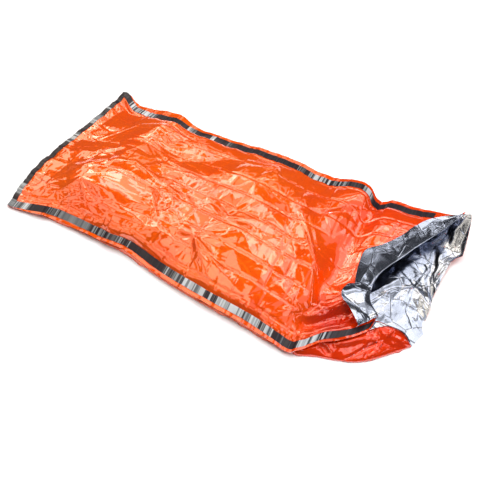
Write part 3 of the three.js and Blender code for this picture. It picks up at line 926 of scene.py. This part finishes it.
def set_inputs(tree, node, inputs):
    """Set a node's inputs, each to a value or to another node's output."""
    for name, value in inputs.items():
        if isinstance(value, bpy.types.NodeSocket):
            tree.links.new(value, node.inputs[name])
        else:
            node.inputs[name].default_value = value


def add_node(tree, kind, inputs, **options):
    node = tree.nodes.new("ShaderNode" + kind)
    for name, value in options.items():
        setattr(node, name, value)
    set_inputs(tree, node, inputs)
    return node


def noise(tree, places, scale, detail):
    inputs = {"Vector": places, "Scale": scale, "Detail": detail}
    return add_node(tree, "TexNoise", inputs).outputs["Fac"]


def ranged(tree, value, span=(0, 1), to=(0, 1)):
    """A value carried from its own span to another one."""
    inputs = {"Value": value, "From Min": span[0], "From Max": span[1], "To Min": to[0], "To Max": to[1]}
    return add_node(tree, "MapRange", inputs).outputs["Result"]


def vector_math(tree, operation, *vectors):
    return add_node(tree, "VectorMath", dict(enumerate(vectors)), operation=operation)


def colour_ramp(tree, value, stops):
    node = add_node(tree, "ValToRGB", {"Fac": value})
    ramp_stops = node.color_ramp.elements
    while len(ramp_stops) < len(stops):
        ramp_stops.new(0.5)
    for stop, (place, colour) in zip(ramp_stops, stops):
        stop.position = place
        stop.color = (*colour, 1)
    return node.outputs["Color"]


def toned(tree, tone, colours):
    """A colour between a darker and a lighter one."""
    return colour_ramp(tree, tone, list(zip(TONE_PLACES, colours)))


def mixed(tree, share, first, second):
    """One colour turning into another by a share."""
    inputs = {"Factor": share, FIRST_COLOUR: first, SECOND_COLOUR: second}
    return add_node(tree, "Mix", inputs, data_type="RGBA").outputs[MIXED_COLOUR]


def bumped(tree, height, distance, strength=1.0, before=None):
    inputs = {"Height": height, "Distance": distance, "Strength": strength}
    if before is not None:
        inputs["Normal"] = before
    return add_node(tree, "Bump", inputs).outputs["Normal"]


def facet_bump(tree, places, scale, tilt, before):
    """Flat facets, each turned a little its own way."""
    cells = add_node(tree, "TexVoronoi", {"Vector": places, "Scale": scale})
    offset = vector_math(tree, "SUBTRACT", places, cells.outputs["Position"])
    turn = vector_math(tree, "MULTIPLY_ADD", cells.outputs["Color"], (2, 2, 2), (-1, -1, -1))
    height = vector_math(tree, "DOT_PRODUCT", offset.outputs["Vector"], turn.outputs["Vector"])
    return bumped(tree, height.outputs["Value"], tilt, before=before)


def crease_bump(tree, places, scale, height, before):
    """Thin creases between the facets of the same scale."""
    inputs = {"Vector": places, "Scale": scale}
    edges = add_node(tree, "TexVoronoi", inputs, feature="DISTANCE_TO_EDGE")
    ridge = ranged(tree, edges.outputs["Distance"], span=(0, CREASE_SHARE))
    return bumped(tree, ridge, height, before=before)


def film_bump(tree, places, strength):
    """Crinkles of the film: flat facets of two sizes, creases and a faint fine waviness."""
    squeeze = {"Vector": places, "Scale": FACET_SQUEEZE, "Rotation": FACET_TURN}
    long_places = add_node(tree, "Mapping", squeeze).outputs["Vector"]
    waves = noise(tree, places, WAVE_SCALE, detail=2)
    normal = bumped(tree, waves, WAVE_HEIGHT, WAVE_STRENGTH)
    normal = facet_bump(tree, long_places, LARGE_FACETS, LARGE_TILT * strength, normal)
    normal = crease_bump(tree, long_places, LARGE_FACETS, CREASE_HEIGHT * strength, normal)
    return facet_bump(tree, places, SMALL_FACETS, SMALL_TILT * strength, normal)


def new_material(name):
    """A new material, its node tree and the places on the piece that wears it."""
    material = bpy.data.materials.new(name)
    material.use_nodes = True
    tree = material.node_tree
    return material, tree, add_node(tree, "TexCoord", {}).outputs["Object"]


def set_shader(tree, inputs):
    set_inputs(tree, tree.nodes["Principled BSDF"], inputs)


def orange_film(name, red, red_span):
    """Orange film with painted shade: redder towards the mouth and deep red in the hollow by the near
    seam.
    """
    material, tree, places = new_material(name)
    tone = noise(tree, places, scale=5, detail=4)
    along = add_node(tree, "SeparateXYZ", {"Vector": places}).outputs["X"]
    # painted shade: redder along x towards the mouth
    shade_share = ranged(tree, along, span=red_span)
    colour = mixed(tree, shade_share, toned(tree, tone, ORANGE), toned(tree, tone, red))
    # painted shade: deep red around the hollow by the near seam
    from_hollow = vector_math(tree, "DISTANCE", places, HOLLOW_PLACE).outputs["Value"]
    depth = ranged(tree, from_hollow, span=HOLLOW_SHADE_SPAN, to=(HOLLOW_SHADE_STRENGTH, 0))
    set_shader(tree, {
        "Base Color": mixed(tree, depth, colour, HOLLOW_SHADE_RED),
        "Roughness": ranged(tree, noise(tree, places, scale=14, detail=3), to=(0.10, 0.24)),
        "Normal": film_bump(tree, places, strength=1.0),
        "Metallic": 0.38,
        "Coat Weight": 1.0,
        "Coat IOR": 2.0,
        "Coat Roughness": 0.02,
        "Specular IOR Level": 0.0,
    })
    return material


def silver_film():
    material, tree, places = new_material("silver_film")
    set_shader(tree, {
        "Base Color": toned(tree, noise(tree, places, scale=9, detail=4), SILVER),
        "Roughness": ranged(tree, noise(tree, places, scale=16, detail=3), to=(0.16, 0.26)),
        "Normal": film_bump(tree, places, strength=1.2),
        "Metallic": 1.0,
    })
    return material


def tape_film():
    """Dark reflective tape with painted reflections: the light stripes that each tape's points carry."""
    material, tree, places = new_material("tape_film")
    light = add_node(tree, "Attribute", {}, attribute_name="light")
    wrinkles = noise(tree, places, scale=160, detail=2)
    set_shader(tree, {
        "Base Color": colour_ramp(tree, light.outputs["Fac"], TAPE_TONES),
        "Roughness": ranged(tree, noise(tree, places, scale=40, detail=3), to=(0.25, 0.42)),
        "Normal": bumped(tree, wrinkles, distance=0.0006, strength=0.4),
        "Metallic": 0.35,
    })
    return material


def floor_paper():
    material, tree, places = new_material("floor_paper")
    set_shader(tree, {
        "Base Color": toned(tree, noise(tree, places, scale=30, detail=3), FLOOR_WHITE),
        "Roughness": 0.8,
    })
    return material


# Tapes

def reflection_stripes(places, stretches):
    """Painted reflections along a tape: each stretch's own lightness, broken into uneven cross stripes.
    """
    length = places[-1]
    stretch = np.searchsorted(column(stretches[:-1], "end"), places / length, side="right")
    light = column(stretches, "light")[stretch]
    contrast = column(stretches, "contrast")[stretch]
    knots = np.cumsum(rng.exponential(STRIPE_STEP, int(STRIPE_SPARE * length / STRIPE_STEP)))
    levels = rng.uniform(-1, 1, len(knots) + 1)
    stripe = levels[np.searchsorted(knots, places)]
    return np.clip(light + contrast * stripe * STRIPE_CONTRAST, 0, 1)


def tape_piece(name, film, stretches):
    """A tape over part of the upper panel's points and normals, finely ridged, with painted reflections
    as stripes across.
    """
    rows = (film.shape[1] - 1) * TAPE_FINENESS + 1
    strip, normals = (resampled(part, rows) for part in film)
    places = line_places(strip[:, 0])
    lift = TAPE_LIFT + np.abs(pucker_line(places, RIDGE_STEP, RIDGE_HEIGHT))
    piece = sheet_piece(name, strip + normals * lift[:, None, None], TAPE_THICKNESS, (tape, tape))
    light = reflection_stripes(places, stretches)
    values = np.tile(np.repeat(light, strip.shape[1]), 2).astype(np.float32)
    piece.data.attributes.new("light", "FLOAT", "POINT").data.foreach_set("value", values)
    return piece


# Light

def light_panel(row):
    light = bpy.data.lights.new("light_panel", "AREA")
    light.shape = "RECTANGLE"
    light.size = row["width"]
    light.size_y = row["depth"]
    light.energy = row["radiance"] * math.pi * row["width"] * row["depth"]
    light.color = [lerp(1.0, part, row.get("warmth", 1)) for part in WARM_LIGHT]
    holder = add_object("light_panel", light)
    holder.location = (row["x"], row["y"], row["z"])
    holder.visible_glossy = row.get("lights") != "matt"
    holder.visible_diffuse = "lights" in row


def studio_world():
    """A dim studio, paler towards the horizon."""
    world = bpy.data.worlds.new("studio")
    world.use_nodes = True
    tree = world.node_tree
    directions = add_node(tree, "TexCoord", {}).outputs["Generated"]
    up = add_node(tree, "SeparateXYZ", {"Vector": directions}).outputs["Z"]
    set_inputs(tree, tree.nodes["Background"], {"Color": colour_ramp(tree, up, STUDIO_TONES)})
    return world


# Finishes of the pieces
orange = orange_film("orange_film", MOUTH_SHADE_RED, MOUTH_SHADE_RED_SPAN)
# the lower panel's outside, with painted shade that turns it redder by the mouth's bulge
lower_shaded_orange = orange_film("lower_shaded_orange_film", LOWER_SHADE_RED, LOWER_SHADE_RED_SPAN)
silver = silver_film()
tape = tape_film()

# Upper panel: rows from the foot's edge to the cuff's edge, with the main folds
upper_body = [upper_section(row) for row in SECTIONS]
foot_edge = upper_body[0] - [FOOT_TAPE_WIDTH, 0, FOOT_FALL]
upper_sections = [foot_edge, *upper_body, *cuff_sections()]
upper_counts = [row_count(a, b) for a, b in zip(upper_sections, upper_sections[1:])]
foot_rows = upper_counts[0] + 1
shared_rows = sum(upper_counts[:len(SECTIONS)]) + 1
fold_row = sum(upper_counts[:len(SECTIONS) + 1])
upper_grid = strand_grid(upper_sections, upper_counts)
fold_fade = np.minimum(1, np.minimum(UPPER_SHARES, 1 - UPPER_SHARES) / FOLD_FADE)
folded = upper_grid[:shared_rows, UPPER_BODY]
folded[..., 2] += fold_heights(folded) * fold_fade
upper_normals = grid_normals(upper_grid)
upper_u, upper_v = sheet_places(upper_grid)
from_foot = upper_u - upper_u[foot_rows - 1]
from_near, from_far = rail_distances(upper_v)

# Upper panel: crumples, packing lines and creases of the body, crumples of the cuff
head_weight = ease(*HEAD_SPAN, from_foot)
body_detail = crumples(UPPER_CRUMPLES, upper_u, upper_v, head_weight)
body_detail *= lerp(1, THROAT_GAIN, ease(*THROAT_SPAN, from_foot))[:, None]
body_detail += packing_field(upper_u, upper_v) * lerp(PACK_FOOT_SHARE, 1, head_weight)[:, None]
body_detail *= calm_shares(upper_grid)
body_detail += crease_heights(upper_grid)
on_cuff = ease(-CUFF_BLEND, CUFF_BLEND, upper_u - upper_u[shared_rows - 1])
across = from_near / (from_near + from_far)
cuff_detail = crumples(CUFF_CRUMPLES, upper_u, upper_v, on_cuff)
cuff_detail *= lerp(KNOB_GAIN, 1, ease(*KNOB_SPAN, across))
cuff_detail *= lerp(1, CUFF_FAR_SHARE, ease(*CUFF_FAR_SPAN, across))
upper_detail = lerp(body_detail, cuff_detail, on_cuff[:, None])
upper_detail *= 1 - FOLD_CALM * bell(upper_u - upper_u[fold_row], FOLD_CALM_REACH)[:, None]
upper_detail *= lerp(SEAM_SHARE, 1, ease(0, SEAM_REACH, np.minimum(from_near, from_far)))
upper_detail *= lerp(FOOT_SHARE, 1, ease(*FOOT_SPAN, from_foot))[:, None]

# Upper panel: puckers along the near side, the far side and the foot
side_fade = ease(-PUCKER_FADE, PUCKER_FADE, from_foot)
for from_side in (from_near, from_far):
    upper_detail += np.outer(seam_puckers(upper_u) * side_fade, pucker_share(from_side))
upper_detail += np.outer(pucker_share(from_foot), seam_puckers(upper_v)) * FOOT_PUCKER_GAIN
upper_grid = upper_grid + upper_normals * upper_detail[..., None]

# Upper panel: the cuff stays over the film that it is turned back on
cuff = upper_grid[fold_row + FOLD_ROWS:]
covered_by_cuff = cover_heights(upper_grid[:fold_row - FOLD_ROWS], cuff)
cuff[..., 2] = np.fmax(cuff[..., 2], covered_by_cuff + CUFF_CLEARANCE)
upper_normals = grid_normals(upper_grid)
hidden_rows = (foot_rows + COARSE_BORDER, shared_rows - MOUTH_HIDDEN_ROWS)
upper = sheet_piece("bag_upper_film", upper_grid, FILM_THICKNESS, (orange, silver), "under", hidden_rows)

# Lower panel: under the foot weld and the side seams it lies below the upper panel
under_upper = under_columns(upper_grid - upper_normals * LAYER_STEP)
lower_sections = [
    under_upper[0],
    under_upper[foot_rows - 1],
    *[lower_section(row, 1) for row in SECTIONS[1:]],
    *[lower_section(row, MOUTH_SEAM_SHARE) for row in LOWER_MOUTH],
]
mouth_counts = [math.ceil(MOUTH_SPAN / ROW_STEP)] * len(LOWER_MOUTH)
lower_grid = strand_grid(lower_sections, upper_counts[:len(SECTIONS)] + mouth_counts)
edge_share = ease(shared_rows - 1, len(lower_grid) - 1, np.arange(len(lower_grid)))
edge_ahead = np.interp(lower_grid[..., 1], column(MOUTH_EDGE, "y"), column(MOUTH_EDGE, "ahead"))
lower_grid[..., 0] += edge_share[:, None] * edge_ahead
lower_normals = grid_normals(lower_grid)
lower_u, lower_v = sheet_places(lower_grid)

# Lower panel: crumples of the body, and of the mouth by distances across the mouth's own middle
mouth_weight = ease(-MOUTH_BLEND, 0, lower_u - lower_u[shared_rows - 1])
lower_inside = np.minimum(*rail_distances(lower_v))
lower_detail = crumples(LOWER_CRUMPLES, lower_u, lower_v, mouth_weight)
lower_detail *= ease(0, LOWER_SEAM_REACH, lower_inside)
mouth_v = line_places(lower_grid[(shared_rows + len(lower_grid)) // 2])
mouth_detail = crumples(MOUTH_CRUMPLES, lower_u, mouth_v, mouth_weight)
mouth_detail *= ease(0, MOUTH_SEAM_REACH, np.minimum(*rail_distances(mouth_v)))
mouth_detail[:, :NEAR_WALL.stop] *= MOUTH_WALL_SHARE
lower_detail = lerp(lower_detail, mouth_detail, mouth_weight[:, None])

# Lower panel: folds of the near wall, calm at its foot and inwards only where it turns under
turned_under = lower_normals[:, NEAR_WALL, 2] > 0
folded_wall = lower_detail[:, NEAR_WALL] + wall_fold_heights(lower_grid)
calm_wall = folded_wall * ease(*WALL_FADE_SPAN, lower_grid[:, NEAR_WALL, 2])
calm_wall *= lerp(1, WALL_END_SHARE, edge_share)[:, None]
lower_detail[:, NEAR_WALL] = np.where(turned_under, np.minimum(folded_wall, 0), calm_wall)
past_wall = np.arange(lower_grid.shape[1]) - NEAR_WALL.stop
floor_share = ease(0, FLOOR_LIFT_CELLS, past_wall) * ease(0, MOUTH_SEAM_REACH, lower_inside)
lower_detail += np.outer(mouth_weight, floor_share) * MOUTH_FLOOR_LIFT
lower_grid = lower_grid + lower_normals * lower_detail[..., None]

# Lower panel: joined to the upper one at the seams, below it between them, and over the floor
seams = np.r_[0:SIDE_CELLS + 1, -SIDE_CELLS - 1:0]
lower_grid[:foot_rows] = under_upper[:foot_rows]
lower_grid[:shared_rows, seams] = under_upper[:shared_rows, seams]
covered = lower_grid[foot_rows:shared_rows, SIDE_CELLS + 1:-SIDE_CELLS - 1]
highest = cover_heights(upper_grid[:shared_rows], covered) - LAYER_STEP
covered[..., 2] = np.fmin(covered[..., 2], highest)
over_floor = lower_grid[..., 2] - FLOOR_HEIGHT
lower_grid[..., 2] = FLOOR_HEIGHT + np.logaddexp(0, over_floor / FLOOR_SOFTNESS) * FLOOR_SOFTNESS
wall_z = lower_grid[:, NEAR_WALL, 2]
wall_z[:] = np.where(
    turned_under,
    lerp(FLOOR_HEIGHT, wall_z, UNDER_WALL_SHARE),
    np.maximum(wall_z, FLOOR_HEIGHT + WALL_CLEARANCE),
)
hidden_rows = (foot_rows + LOWER_FINE_ROWS, hidden_rows[1])
lower = sheet_piece(
    "bag_lower_film", lower_grid, FILM_THICKNESS, (silver, lower_shaded_orange), "top", hidden_rows)

# Tapes: along both sides from the foot to the mouth, and across the foot
film = np.stack([upper_grid, upper_normals])
sides = film[:, foot_rows - 1:shared_rows]
near_tape = tape_piece("bag_near_tape", sides[:, :, MARGIN_CELLS:SIDE_CELLS + 1], NEAR_STRETCHES)
far_tape = tape_piece("bag_far_tape", sides[:, :, -SIDE_CELLS - 1:-MARGIN_CELLS], FAR_STRETCHES)
foot_tape = tape_piece("bag_foot_tape", film[:, foot_rows - 1::-1].swapaxes(1, 2), FOOT_STRETCHES)

# What each piece stands for
for piece, node, slot in (
    (upper, "upper_film", "film"),
    (lower, "lower_film", "film"),
    (near_tape, "near_seam_tape", "tape"),
    (far_tape, "far_seam_tape", "tape"),
    (foot_tape, "foot_seam_tape", "tape"),
):
    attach(piece, "root")
    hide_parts(node)

# Floor
floor_mesh = bpy.data.meshes.new("floor")
floor_corners = [(x * FLOOR_HALF, y * FLOOR_HALF, 0) for x, y in ((-1, -1), (1, -1), (1, 1), (-1, 1))]
floor_mesh.from_pydata(floor_corners, [], [(0, 1, 2, 3)])
floor_mesh.materials.append(floor_paper())
floor = add_object("floor", floor_mesh)

# Camera
camera_data = bpy.data.cameras.new("camera")
camera_data.lens = CAMERA_LENS
camera = add_object("camera", camera_data)
camera.location = CAMERA_PLACE
aim = Vector(CAMERA_TARGET) - Vector(CAMERA_PLACE)
camera.rotation_euler = aim.to_track_quat("-Z", "Y").to_euler()
bpy.context.scene.camera = camera

# Light
for row in LIGHTS:
    light_panel(row)
bpy.context.scene.world = studio_world()
bpy.context.scene.view_settings.view_transform = "Standard"
